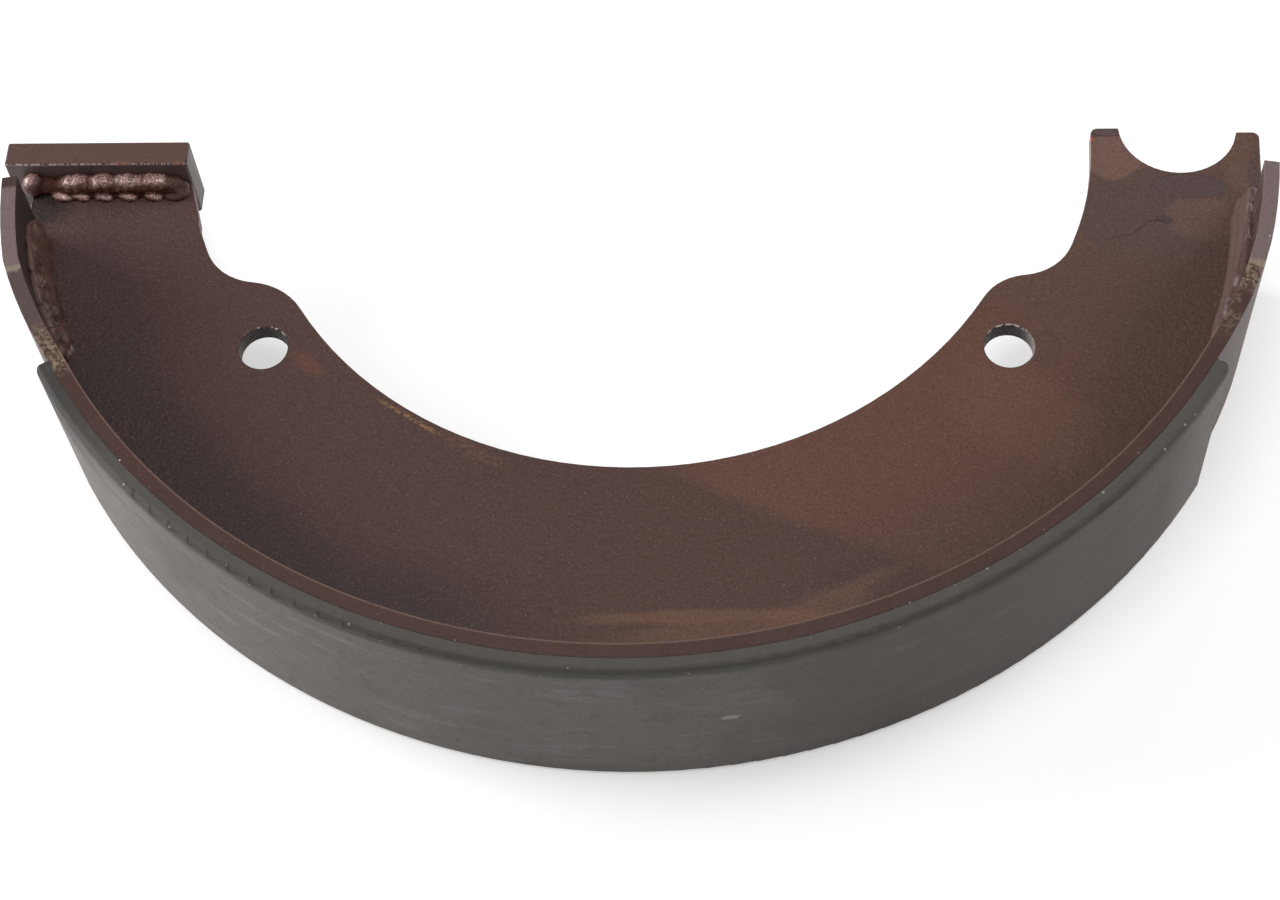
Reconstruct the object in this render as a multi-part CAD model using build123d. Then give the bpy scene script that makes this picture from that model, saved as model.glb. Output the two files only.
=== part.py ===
from build123d import *
from math import cos, degrees, radians, sin, sqrt
import os

# A welded drum brake shoe: one flat web, a bent rim, a bonded lining, a wear block and a
# half-round heel.
#
# Millimetres. The origin is on the drum's axis, in the plane of the side edge that the shoe lies
# on. +Z runs along the drum's axis, -Y points from the axis through the middle of the lining, and
# +X is towards the anchor pin. Angles round the drum are measured from -Y, positive towards +X.
# The toe is the end with the block, and the heel is the end on the anchor pin.

# Driving dimensions
DRUM_R = 175.0            # friction face, fits a 350 mm drum
SHOE_WIDTH = 58.5         # along the drum's axis, rim and lining alike
LINING_T = 3.8
RIM_T = 4.0
WEB_T = 5.0
LINING_HALF_ANGLE = 59.0
RIM_HALF_ANGLE = 83.3
LINING_EDGE_R = 1.7       # worn round of the lining's outer edges
RIM_CORNER_R = 15.0       # corners of the rim's two ends, seen along a radius

# The rim is true under the lining. Past it the strip springs off the circle as far as a bend, and
# from the bend its end leans in again.
TOE_BEND_ANGLE = -70.8
TOE_LIFT = 1.85
HEEL_BEND_ANGLE = 72.0
HEEL_LIFT = 0.5
RIM_END_DIP = 1.8
RIM_SPRING_BOW = 0.2      # how far each of those stretches bows outwards

INNER_ARC_R = 107.2       # web's inner edge, struck from a point near the drum's axis
INNER_ARC_CENTRE = (0.4, 3.6)
HEEL_SHOULDER_Y = -45.2   # where the inner arc turns out under the end lobes
HEEL_SHOULDER_R = 14.6
HEEL_LEDGE = (113.1, -43.0)   # outer end of the ledge beyond the shoulder
HEEL_LEDGE_R = 15.3
HEEL_NECK = (122.7, -18.9)    # the web's inner edge runs nearly straight from here to its tip
HEEL_NECK_R = 92.0
TOE_SHOULDER_Y = -46.7
TOE_SHOULDER_R = 18.7
TOE_LEDGE = (-113.7, -44.4)
TOE_LEDGE_R = 16.2
TOE_NECK = (-121.0, -26.0)
TOE_NECK_R = 8.0
TOE_END_X = -120.7        # inner edge of the web where it meets the block
WEB_END_X = 168.7         # outer edge of the web past the ends of the rim
WEB_END_RUN = 6.5         # length over which that edge leaves the rim's circle

PIN_R = 16.0              # half-round heel, for a 32 mm anchor pin
PIN_CENTRE = (147.4, 5.2)
HEEL_INNER_TIP = (123.8, 4.5)
HEEL_OUTER_TIP = (169.5, 2.8)
HEEL_TIP_R = 2.0

SPRING_HOLE_R = 6.5
SPRING_HOLE_AT = (98.5, -67.0)

BLOCK_LENGTH = 51.0
BLOCK_T = 8.0
BLOCK_HEIGHT = 22.5
BLOCK_OUTER_X = -175.2
BLOCK_FACE_Y = -4.3       # the face that the cam pushes on
BLOCK_EDGE_BREAK = 0.6

BLOCK_BEAD_R = 6.3        # leg of the beads that hold the block, on a ripple's crest
BLOCK_BEAD_VALLEY_R = 5.2
BLOCK_BEAD_PITCH = 6.4
BLOCK_BEAD_LOBES = 7
BLOCK_BEAD_START_X = -169.2
TOE_BEAD_LEGS = (3.9, 7.5)    # legs of the beads between web and rim, on the web and on the rim
HEEL_BEAD_LEGS = (6.0, 6.5)
RIM_BEAD_END = 0.55       # share of the legs that is left where a bead ends
RIM_BEAD_END_RUN = 4.5    # length over which each end tapers off
RIM_BEAD_FROM = 66.5
RIM_BEAD_TO = 81.0

# Worked out from them
RIM_OUTER_R = DRUM_R - LINING_T
RIM_INNER_R = RIM_OUTER_R - RIM_T
MID_Z = SHOE_WIDTH / 2
QUARTER_TURN = 90
WEB_TOP_Z = MID_Z + WEB_T / 2
WEB_BOTTOM_Z = MID_Z - WEB_T / 2
BLOCK_BACK_Y = BLOCK_FACE_Y - BLOCK_T     # the face that the web's end butts against
TAPER_ANGLE = degrees(RIM_BEAD_END_RUN / RIM_INNER_R)


def around(radius, angle):
    """The point at a radius from the drum's axis and an angle from the shoe's middle."""
    return (radius * sin(radians(angle)), -radius * cos(radians(angle)))


def round_face(radius):
    """Three points of a circle round the drum's axis, over the length of the lining."""
    return [around(radius, angle) for angle in (-LINING_HALF_ANGLE, 0, LINING_HALF_ANGLE)]


def ring_sector(outer_r, inner_r):
    """A strip of the shoe's full width and the lining's length, bent round the drum's axis."""
    outer, inner = round_face(outer_r), round_face(inner_r)
    edges = [
        ThreePointArc(*outer),
        Line(outer[-1], inner[-1]),
        ThreePointArc(*inner),
        Line(inner[0], outer[0]),
    ]
    return extrude(make_face(edges), SHOE_WIDTH)


def rim_line(radius):
    """One face of the rim, seen along the drum's axis, and its two ends."""
    edges, ends = [ThreePointArc(*round_face(radius))], []
    for side, bend_angle, lift in ((-1, TOE_BEND_ANGLE, TOE_LIFT), (1, HEEL_BEND_ANGLE, HEEL_LIFT)):
        stations = (
            (side * LINING_HALF_ANGLE, 0),
            ((side * LINING_HALF_ANGLE + bend_angle) / 2, lift / 2 + RIM_SPRING_BOW),
            (bend_angle, lift),
            ((side * RIM_HALF_ANGLE + bend_angle) / 2, (lift - RIM_END_DIP) / 2 + RIM_SPRING_BOW),
            (side * RIM_HALF_ANGLE, -RIM_END_DIP),
        )
        points = [around(radius + rise, angle) for angle, rise in stations]
        edges += [ThreePointArc(*points[:3]), ThreePointArc(*points[2:])]
        ends.append(points[-1])
    return edges, ends


def nearest_vertex(shape, point):
    """The vertex of a flat outline that lies at a point."""
    return shape.vertices().sort_by_distance((*point, 0))[0]


def make_rim():
    """The bent strip that carries the lining, with rounded corners at both ends."""
    outer, outer_ends = rim_line(RIM_OUTER_R)
    inner, inner_ends = rim_line(RIM_INNER_R)
    closing = [Line(a, b) for a, b in zip(outer_ends, inner_ends)]
    strip = extrude(make_face(outer + inner + closing), SHOE_WIDTH)
    corners = strip.edges().filter_by(GeomType.LINE).filter_by(lambda edge: edge.length < 2 * RIM_T)
    return fillet(corners, RIM_CORNER_R)


def make_web(rim):
    """The flat crescent plate, with its lobes, half-round heel and two spring holes."""
    centre_x, centre_y = INNER_ARC_CENTRE

    def shoulder(y, side):
        """The point at a height on the inner arc."""
        return (centre_x + side * sqrt(INNER_ARC_R**2 - (y - centre_y) ** 2), y)

    def notch(y, side):
        """The point at a height on the heel's half round."""
        return (PIN_CENTRE[0] + side * sqrt(PIN_R**2 - (y - PIN_CENTRE[1]) ** 2), y)

    heel_shoulder, toe_shoulder = shoulder(HEEL_SHOULDER_Y, 1), shoulder(TOE_SHOULDER_Y, -1)
    notch_left, notch_right = notch(HEEL_INNER_TIP[1], -1), notch(HEEL_OUTER_TIP[1], 1)
    notch_bottom = (PIN_CENTRE[0], PIN_CENTRE[1] - PIN_R)
    rim_end_x, rim_end_y = around(RIM_INNER_R, RIM_HALF_ANGLE)
    flare_y = rim_end_y + WEB_END_RUN

    edges = [
        ThreePointArc((-rim_end_x, rim_end_y), (0, -RIM_INNER_R), (rim_end_x, rim_end_y)),
        Polyline((rim_end_x, rim_end_y), (WEB_END_X, flare_y), HEEL_OUTER_TIP, notch_right),
        ThreePointArc(notch_right, notch_bottom, notch_left),
        Polyline(notch_left, HEEL_INNER_TIP, HEEL_NECK, HEEL_LEDGE, heel_shoulder),
        ThreePointArc(heel_shoulder, (centre_x, centre_y - INNER_ARC_R), toe_shoulder),
        Polyline(
            toe_shoulder,
            TOE_LEDGE,
            TOE_NECK,
            (TOE_END_X, BLOCK_BACK_Y),
            (-WEB_END_X, BLOCK_BACK_Y),
            (-WEB_END_X, flare_y),
            (-rim_end_x, rim_end_y),
        ),
    ]
    plate = make_face(edges)
    rounds = (
        (HEEL_OUTER_TIP, HEEL_TIP_R),
        (HEEL_INNER_TIP, HEEL_TIP_R),
        (HEEL_NECK, HEEL_NECK_R),
        (HEEL_LEDGE, HEEL_LEDGE_R),
        (heel_shoulder, HEEL_SHOULDER_R),
        (toe_shoulder, TOE_SHOULDER_R),
        (TOE_LEDGE, TOE_LEDGE_R),
        (TOE_NECK, TOE_NECK_R),
    )
    for corner, radius in rounds:
        plate = fillet(nearest_vertex(plate, corner), radius)
    for side in (1, -1):
        plate -= Pos(side * SPRING_HOLE_AT[0], SPRING_HOLE_AT[1]) * Circle(SPRING_HOLE_R)
    return Pos(0, 0, WEB_BOTTOM_Z) * extrude(plate, WEB_T) - rim


def make_lining():
    """The bonded friction strip, worn round along its outer edges."""
    strip = ring_sector(DRUM_R, RIM_OUTER_R)
    face = strip.faces().filter_by(GeomType.CYLINDER).sort_by(lambda item: item.area)[-1]
    return fillet(face.edges(), LINING_EDGE_R)


def make_wear_block():
    """The steel block across the toe of the web, which takes the push and wear of the cam."""
    block = Box(BLOCK_LENGTH, BLOCK_T, BLOCK_HEIGHT)
    block = chamfer(block.edges(), BLOCK_EDGE_BREAK)
    return Pos(BLOCK_OUTER_X + BLOCK_LENGTH / 2, BLOCK_FACE_Y - BLOCK_T / 2, MID_Z) * block


def make_block_bead(side):
    """The rippled bead in a corner of block and web, over (side 1) or under (-1) the web."""
    plane_z = MID_Z + side * WEB_T / 2
    depth = BLOCK_BEAD_R - BLOCK_BEAD_VALLEY_R
    crest = ((0.0, 0.0), (0.28, 0.95), (0.66, 0.9))
    scallops = [
        (BLOCK_BEAD_START_X + (lobe + along) * BLOCK_BEAD_PITCH, BLOCK_BEAD_VALLEY_R + rise * depth)
        for lobe in range(BLOCK_BEAD_LOBES)
        for along, rise in crest
    ]
    end_x = BLOCK_BEAD_START_X + BLOCK_BEAD_LOBES * BLOCK_BEAD_PITCH
    outline = [(BLOCK_BEAD_START_X, 0.0), *scallops, (end_x, BLOCK_BEAD_VALLEY_R), (end_x, 0.0)]
    on_web = [Vector(x, -leg, 0) for x, leg in outline]
    section = make_face(Polyline(*on_web, close=True))
    corner = Axis((0, 0, 0), (1, 0, 0))
    return Pos(0, BLOCK_BACK_Y, plane_z) * revolve(section, corner, -side * QUARTER_TURN)


def make_hollow():
    """All the space that the rim encloses."""
    edges, ends = rim_line(RIM_INNER_R)
    return extrude(make_face(edges + [Line(end, (0, 0)) for end in ends]), SHOE_WIDTH)


def make_rim_bead(hand, side, web, hollow):
    """The plain bead in a corner of rim and web, near the anchor (hand 1) or the block (-1)."""
    web_leg, rim_leg = HEEL_BEAD_LEGS if hand > 0 else TOE_BEAD_LEGS
    lift = HEEL_LIFT if hand > 0 else TOE_LIFT
    seat_r = RIM_INNER_R + lift / 2
    first, last = sorted((hand * RIM_BEAD_FROM, hand * RIM_BEAD_TO))

    def section(angle, share):
        """The bead's section in the plane through the drum's axis at an angle."""
        face = [(cos(radians(turn)), sin(radians(turn))) for turn in (0, 25, 50, 72, 90)]
        crown = [(seat_r - web_leg * share * c, WEB_T / 2 + rim_leg * share * s) for c, s in face]
        outline = [(crown[0][0], 0), *crown, (seat_r + RIM_T, crown[-1][1]), (seat_r + RIM_T, 0)]
        corners = [Vector(r, 0, MID_Z + side * height) for r, height in outline]
        return Rot(0, 0, angle - QUARTER_TURN) * make_face(Polyline(*corners, close=True))

    bead = revolve(section(first, 1), Axis.Z, last - first)
    for angle, beyond in ((first, first - TAPER_ANGLE), (last, last + TAPER_ANGLE)):
        bead += loft([section(angle, 1), section(beyond, RIM_BEAD_END)], ruled=True)
    return (bead & hollow) - web


def main():
    rim, hollow = make_rim(), make_hollow()
    web = make_web(rim)
    nodes = {
        "web": web,
        "rim": rim,
        "lining": make_lining(),
        "wear_block": make_wear_block(),
    }
    for side, level in ((1, "upper"), (-1, "lower")):
        nodes[f"block_weld_{level}"] = make_block_bead(side)
        nodes[f"toe_weld_{level}"] = make_rim_bead(-1, side, web, hollow)
        nodes[f"heel_weld_{level}"] = make_rim_bead(1, side, web, hollow)

    os.makedirs("parts", exist_ok=True)
    for name, shape in nodes.items():
        box = shape.bounding_box()
        print(f"{name}: {shape.volume:.0f} mm3, x {box.min.X:.1f}..{box.max.X:.1f},"
              f" y {box.min.Y:.1f}..{box.max.Y:.1f}, z {box.min.Z:.1f}..{box.max.Z:.1f}")
        export_step(shape, f"parts/{name}.step")


main()
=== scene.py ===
# %% [markdown]
# # A welded drum brake shoe
# The shoe is a flat steel web, a rim bent round it, a bonded friction lining, and a hard block
# welded across one end for the cam to push on. It has been dipped in red-brown primer, so its
# look comes from paint: thick and glossy over the welds, thin and stained near the heel.
# The CAD model gives every size. Here its plates get soft edges, its welds get their ripples,
# and each surface gets its finish.

from math import atan2, cos, degrees, exp, hypot, radians, sin

import bpy
from mathutils import Euler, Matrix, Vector


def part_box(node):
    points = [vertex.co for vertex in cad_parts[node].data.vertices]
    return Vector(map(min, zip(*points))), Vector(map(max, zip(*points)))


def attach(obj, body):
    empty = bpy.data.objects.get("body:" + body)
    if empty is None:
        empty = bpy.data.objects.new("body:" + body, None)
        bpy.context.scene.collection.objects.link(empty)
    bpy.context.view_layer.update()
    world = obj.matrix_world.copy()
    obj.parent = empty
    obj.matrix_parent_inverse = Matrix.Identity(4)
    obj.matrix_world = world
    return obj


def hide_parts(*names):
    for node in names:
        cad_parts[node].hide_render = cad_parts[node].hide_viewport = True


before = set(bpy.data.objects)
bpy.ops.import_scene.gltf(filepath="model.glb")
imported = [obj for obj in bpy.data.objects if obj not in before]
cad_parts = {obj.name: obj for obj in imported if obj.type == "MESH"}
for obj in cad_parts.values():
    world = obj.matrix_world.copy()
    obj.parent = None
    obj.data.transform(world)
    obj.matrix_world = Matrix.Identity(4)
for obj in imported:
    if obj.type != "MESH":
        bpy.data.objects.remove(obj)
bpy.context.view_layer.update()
MM = 0.001
print("CAD nodes:", sorted(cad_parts))

# %% [markdown]
# Everything that the paint and the welds need to know about the shoe is read from the CAD
# boxes: the plane of the web's upper face, the circle that the lining's face runs on, and the
# corner in which the block sits on the web.

# %% Sizes read from the CAD model
web_low, web_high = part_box("web")
rim_low, rim_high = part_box("rim")
lining_low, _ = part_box("lining")
block_low, block_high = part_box("wear_block")
FRICTION_R = -lining_low.y
RIM_OUTER_R = -rim_low.y
RIM_INNER_R = -web_low.y
WEB_TOP, WEB_UNDER = web_high.z, web_low.z
MID_Z = (WEB_TOP + WEB_UNDER) / 2
SIDE_TOP = rim_high.z
HALF_WIDTH = SIDE_TOP - MID_Z
print("friction radius %.1f mm, web %.1f mm thick" % (FRICTION_R / MM, (WEB_TOP - WEB_UNDER) / MM))

# %% [markdown]
# The camera stands high in front of the lining and looks down at the web. Its place is given
# in metres from the drum's axis, and its direction as three turns: the heading, the look down
# and a slight tilt of the frame. Blender's camera looks down its own -Z, so a look that is
# 59 degrees below the horizon is 31 degrees up from straight down.

# %% Camera
CAMERA_AT = (0.04174, -0.43325, 0.59305)
HEADING = -6.635
LOOK_DOWN = 59.026
TILT = -5.706
LENS_MM = 71.588
SENSOR_MM = 36
NEAREST, FARTHEST = 0.01, 50

lens = bpy.data.cameras.new("lens")
lens.sensor_fit = "HORIZONTAL"
lens.sensor_width = SENSOR_MM
lens.lens = LENS_MM
lens.clip_start, lens.clip_end = NEAREST, FARTHEST
camera = bpy.data.objects.new("camera", lens)
bpy.context.scene.collection.objects.link(camera)
turn = (
    Euler((0, 0, radians(-HEADING))).to_matrix()
    @ Euler((radians(90 - LOOK_DOWN), 0, 0)).to_matrix()
    @ Euler((0, 0, radians(TILT))).to_matrix()
)
camera.matrix_world = turn.to_4x4()
camera.location = CAMERA_AT
bpy.context.scene.camera = camera
print("camera looks along", tuple(round(v, 4) for v in turn @ Vector((0, 0, -1))))

# %% [markdown]
# Many of Blender's operators act on whatever is selected, and the CAD nodes come in selected.
# So every step starts from nothing, and takes the one piece that it works on.

# %% Selecting
def let_go():
    """Leaves edit mode with nothing selected."""
    if bpy.context.mode != "OBJECT":
        bpy.ops.object.mode_set(mode="OBJECT")
    bpy.ops.object.select_all(action="DESELECT")


def take(piece):
    """Makes a piece the only one selected, and the active one."""
    let_go()
    piece.select_set(True)
    bpy.context.view_layer.objects.active = piece


def finish_with(piece, kind, **settings):
    """Adds a modifier to a piece and applies it."""
    take(piece)
    modifier = piece.modifiers.new(kind.lower(), kind)
    for name, value in settings.items():
        setattr(modifier, name, value)
    bpy.ops.object.modifier_apply(modifier=modifier.name)


let_go()

# %% [markdown]
# The web and the rim are cut from plate, and a cut edge is never perfectly sharp: a shear
# rolls it over a little and the primer rounds it further. That tiny round catches a line of
# light, which is what makes a plate look like metal. The CAD node stays untouched, so a copy
# of it is merged into one skin, its flat faces are dissolved into single polygons, and only
# then is it bevelled.

# %% Plates with soft edges
SMOOTH_ANGLE = 40
WORN_ROUND_ANGLE = 62
FLAT_ANGLE = 0.3
MERGE_WITHIN = 0.002 * MM


def skin(node, name):
    """A copy of a CAD node, merged into one skin with whole flat faces."""
    piece = bpy.data.objects.new(name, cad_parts[node].data.copy())
    bpy.context.scene.collection.objects.link(piece)
    take(piece)
    bpy.ops.mesh.customdata_custom_splitnormals_clear()
    bpy.ops.object.mode_set(mode="EDIT")
    bpy.ops.mesh.select_all(action="SELECT")
    bpy.ops.mesh.remove_doubles(threshold=MERGE_WITHIN)
    bpy.ops.mesh.dissolve_limited(angle_limit=radians(FLAT_ANGLE))
    let_go()
    return piece


def soften(piece, width, segments=3):
    """Rounds the sharp edges and shades the piece so that its flats stay flat."""
    finish_with(piece, "BEVEL", width=width, segments=segments, limit_method="ANGLE",
                angle_limit=radians(SMOOTH_ANGLE), harden_normals=False)
    take(piece)
    bpy.ops.object.shade_smooth_by_angle(angle=radians(SMOOTH_ANGLE))
    finish_with(piece, "WEIGHTED_NORMAL", keep_sharp=True)
    print(piece.name, len(piece.data.polygons), "faces")
    return piece


def put_on(piece, material, slot, *nodes):
    """Gives a finished piece its material and its place in the object."""
    piece.data.materials.clear()
    piece.data.materials.append(material)
    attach(piece, "root")
    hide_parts(*nodes)


def trim(piece, point, outward):
    """Cuts off what lies beyond a plane, and closes the cut."""
    take(piece)
    bpy.ops.object.mode_set(mode="EDIT")
    bpy.ops.mesh.select_all(action="SELECT")
    bpy.ops.mesh.bisect(plane_co=point, plane_no=outward, clear_outer=True, use_fill=True)
    let_go()


def around(radius, angle):
    """The point at a radius from the drum's axis and an angle from the shoe's middle."""
    return radius * sin(radians(angle)), -radius * cos(radians(angle))


# %% [markdown]
# The rim strip was sheared to length, so its two ends are square. The CAD strip is longer, with
# rounded corners, so the copy's corners are drawn out to the full height before each end is cut
# off. The web was cut to meet the strip, so its outer corner past the strip's end runs straight
# out to the edge of the heel or block, and the corner beside the block is set back to leave the
# block's end free. The strip has sprung a little off its circle past the lining. A ray sent out
# from the drum's axis, above the web, finds where the strip's inner face is, so that the web's
# edge, and later the welds, can follow it.

# %% Rim, web, block and lining
TOE_END, HEEL_END = -79.8, 80.6
FOLLOWS_RIM = (66, 81.4)
EMBED = 0.15 * MM
NEAR_SIDES = 20 * MM
EDGE_BAND = 2 * MM
CORNER_REACH = 0.6 * MM
RAY_INSET = 0.5
RAY_Z = SIDE_TOP * 0.9
RIM_EDGE, WEB_EDGE, BLOCK_EDGE = 0.3 * MM, 0.35 * MM, 0.2 * MM
# x and y of a web corner, and its new x and y, in millimetres
WEB_CORNERS_MM = ((-164.2, -24.6, -167.8, -25.2), (-164.3, -19.3, -168.6, -20.6),
                  (-166.1, -19.5, -168.7, -17.4), (164.3, -19.3, 167.0, -20.6),
                  (166.1, -19.5, 167.8, -17.8), (-120.7, -12.3, -124.3, -12.3))

rim = skin("rim", "rim_strip")
for corner in rim.data.vertices:
    if abs(corner.co.z - MID_Z) > NEAR_SIDES:
        corner.co.z = SIDE_TOP if corner.co.z > MID_Z else rim_low.z
for end in (TOE_END, HEEL_END):
    along = 1 if end > 0 else -1
    trim(rim, (*around(RIM_INNER_R, end), 0),
         (along * cos(radians(end)), along * sin(radians(end)), 0))
rim = soften(rim, RIM_EDGE)


def rim_inside(angle):
    """How far the rim's inner face is from the drum's axis at an angle."""
    inset = max(min(angle, HEEL_END - RAY_INSET), TOE_END + RAY_INSET)
    found, place, _, _ = rim.ray_cast((0, 0, RAY_Z), (*around(1, inset), 0))
    return hypot(place.x, place.y) if found else RIM_INNER_R


web = skin("web", "web_plate")
for corner in web.data.vertices:
    angle = degrees(atan2(corner.co.x, -corner.co.y))
    if (FOLLOWS_RIM[0] < abs(angle) < FOLLOWS_RIM[1]
            and hypot(*corner.co.xy) > RIM_INNER_R - EDGE_BAND):
        corner.co.xy = around(rim_inside(angle) + EMBED, angle)
    for x_mm, y_mm, *place_mm in WEB_CORNERS_MM:
        if hypot(corner.co.x - x_mm * MM, corner.co.y - y_mm * MM) < CORNER_REACH:
            corner.co.xy = [v * MM for v in place_mm]
            print("web corner at", tuple(round(v / MM, 1) for v in corner.co))
            break
web = soften(web, WEB_EDGE)
block = soften(skin("wear_block", "wear_block_steel"), BLOCK_EDGE, segments=2)

lining = skin("lining", "lining_strip")
take(lining)
bpy.ops.object.shade_smooth_by_angle(angle=radians(WORN_ROUND_ANGLE))
finish_with(lining, "WEIGHTED_NORMAL", keep_sharp=True)

# %% [markdown]
# A weld laid by hand is a row of frozen drops. Each one set while the next ran onto it, so
# the bead swells and narrows, and its foot makes a scalloped line on the plate. It is made in
# the same way: stretched spheres are set along the corner, melted into one skin by a voxel
# remesh, and smoothed as the molten steel was.

# %% A bead of drops
DROP_SEGMENTS, DROP_RINGS = 24, 14


def melt(name, drops, voxel, smoothing):
    """One skin from a list of drops, each (centre, half sizes, turn about z)."""
    let_go()
    for centre, half_sizes, angle in drops:
        bpy.ops.mesh.primitive_uv_sphere_add(segments=DROP_SEGMENTS, ring_count=DROP_RINGS,
                                             radius=1, location=centre,
                                             rotation=(0, 0, angle), scale=half_sizes)
        if bpy.context.mode == "OBJECT":
            # the first drop becomes the piece, and the others are added inside it
            piece = bpy.context.object
            piece.name = piece.data.name = name
            bpy.ops.object.transform_apply(location=True, rotation=True, scale=True)
            bpy.ops.object.mode_set(mode="EDIT")
    let_go()
    finish_with(piece, "REMESH", mode="VOXEL", voxel_size=voxel)
    finish_with(piece, "SMOOTH", factor=0.5, iterations=smoothing)
    return piece


def roughen(piece, grain, depth):
    """Uneven skin of the set metal, as small hills and hollows."""
    hills = bpy.data.textures.new(piece.name + "_hills", "CLOUDS")
    hills.noise_scale = grain
    hills.noise_depth = 2
    finish_with(piece, "DISPLACE", texture=hills, texture_coords="LOCAL", strength=depth,
                mid_level=0.5)


# %% [markdown]
# The bead along the block is one thick roll: a lump where the arc was struck, a short thin
# place, and then an even run of ripples about 6.5 mm apart. The roll is drops so close that
# they merge, a little larger at each ripple, and each ripple pushed a flat toe out on to the
# web, which points back to where the bead began.

# %% Block welds
SEAM_Y = block_low.y
# each drop: x, how far its centre is off the block and off the web, and its three half sizes
START_DROPS_MM = ((-168.0, 2.0, 2.4, 3.3, 3.4, 3.5), (-164.2, 1.5, 1.3, 3.6, 2.6, 2.6))
RUN_MM = (-161.2, -126.4)
RUN_STEP_MM = 2.0
# the roll's own drops: off the block and off the web, half length and half thickness
ROLL_OFF_BLOCK_MM, ROLL_OFF_WEB_MM = 2.1, 2.5
ROLL_HALF_LENGTH_MM, ROLL_HALF_MM = 2.8, 3.3
# the roll's rise and fall: how far it has gone where the run starts or ends, and its length
RISE_MM, FALL_MM = (3, 6), (3.4, 7)
RIPPLES_MM = (-160.3, -155.0, -148.6, -141.8, -134.6, -129.0)
RIPPLE_WIDTH_MM = 2.6
VALLEY_SHARE, RIPPLE_SHARE = 0.86, 0.14
# the flat toe of each ripple: the same measures, with x from the ripple, and a turn in radians
RIPPLE_TOES_MM = ((0.0, 4.7, 0.35, 3.1, 1.75, 1.25, -0.22), (1.7, 3.6, 0.5, 3.0, 2.2, 1.6, -0.1))
BLOCK_VOXEL, BLOCK_SMOOTHING = 0.32 * MM, 5
BLOCK_HILLS = ((2.2 * MM, 0.6 * MM), (0.8 * MM, 0.26 * MM))


def block_bead(name, side):
    """The bead over (side 1) or under (side -1) the web, along the block."""
    face = WEB_TOP if side > 0 else WEB_UNDER
    drops = []

    def drop(x, off_block, off_web, half_x, half_y, half_z, turn=0):
        drops.append(((x * MM, SEAM_Y - off_block * MM, face + side * off_web * MM),
                      (half_x * MM, half_y * MM, half_z * MM), turn))

    for measures in START_DROPS_MM:
        drop(*measures)
    x_mm = RUN_MM[0]
    while x_mm < RUN_MM[1]:
        swell = max(exp(-((x_mm - ripple) / RIPPLE_WIDTH_MM) ** 2) for ripple in RIPPLES_MM)
        fade = min(1, (x_mm - RUN_MM[0] + RISE_MM[0]) / RISE_MM[1],
                   (RUN_MM[1] - x_mm + FALL_MM[0]) / FALL_MM[1])
        size = (VALLEY_SHARE + RIPPLE_SHARE * swell) * fade
        drop(x_mm, ROLL_OFF_BLOCK_MM, ROLL_OFF_WEB_MM * size, ROLL_HALF_LENGTH_MM,
             ROLL_HALF_MM * size, ROLL_HALF_MM * size)
        x_mm += RUN_STEP_MM
    for ripple in RIPPLES_MM:
        for past, *measures in RIPPLE_TOES_MM:
            drop(ripple + past, *measures)
    bead = melt(name, drops, BLOCK_VOXEL, BLOCK_SMOOTHING)
    for grain, depth in BLOCK_HILLS:
        roughen(bead, grain, depth)
    trim(bead, (0, SEAM_Y + EMBED, 0), (0, 1, 0))
    trim(bead, (0, 0, face - side * EMBED), (0, 0, -side))
    take(bead)
    bpy.ops.object.shade_smooth()
    print(name, len(bead.data.polygons), "faces")
    return bead


block_beads = [block_bead("block_weld_upper_bead", 1), block_bead("block_weld_lower_bead", -1)]

# %% [markdown]
# The beads between rim and web are smoother and flatter: the arc was drawn slowly round the
# corner, so long drops run together into one flat-faced strip. The toe's strip climbs high on
# the rim, and was laid in short laps, whose edges stay as creases. The heel's is broad, low and
# even, and runs on past the end of the rim.

# %% Rim welds
# each row: angle round the drum, reach on the web and reach up the rim, in millimetres
TOE_BEAD = ((-66.6, 4.8, 4.5), (-68.4, 5.2, 8.0), (-70.6, 5.2, 12.0), (-73.0, 4.2, 15.0),
            (-75.2, 3.3, 16.5), (-76.4, 3.0, 15.5), (-77.6, 2.8, 12.0))
HEEL_BEAD = ((66.6, 3.6, 4.0), (69.0, 4.6, 6.0), (72.0, 4.8, 7.5), (75.0, 4.9, 8.5),
             (78.0, 4.9, 9.0), (80.2, 4.8, 9.0), (81.8, 4.3, 7.5))
# each lap: angle, half length, reach on the web and height of its middle, in millimetres
TOE_LAPS = ((-77.8, 5.0, 3.0, 5.0), (-74.8, 5.2, 3.6, 6.0), (-72.2, 5.0, 4.6, 4.5),
            (-69.6, 4.8, 5.4, 3.0), (-67.0, 4.2, 5.2, 1.6))
STEPS = 3
DROP_HALF_LENGTH = 5.5 * MM
# the section's foot on the web, the flat face over it and the edge that climbs the rim. Each is
# set off the rim by a share of the reach on the web and some millimetres, and up by a share of
# the reach on the rim. Its half sizes are a share and millimetres outwards, and a share upwards.
SECTION = ((0.40, 0, 0, 0.60, 0, 0.45), (0.15, 0, 0.38, 0.58, 0, 0.40),
           (0, 0.3, 0.62, 0.30, 0.7, 0.38))
LAP_OFF, LAP_OUT, LAP_RISE_MM = 0.42, 0.58, 2.4
RIM_VOXEL, RIM_SMOOTHING = 0.4 * MM, 9
TOE_HILLS, HEEL_HILLS = (4.2 * MM, 0.8 * MM), (7.0 * MM, 0.4 * MM)


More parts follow.
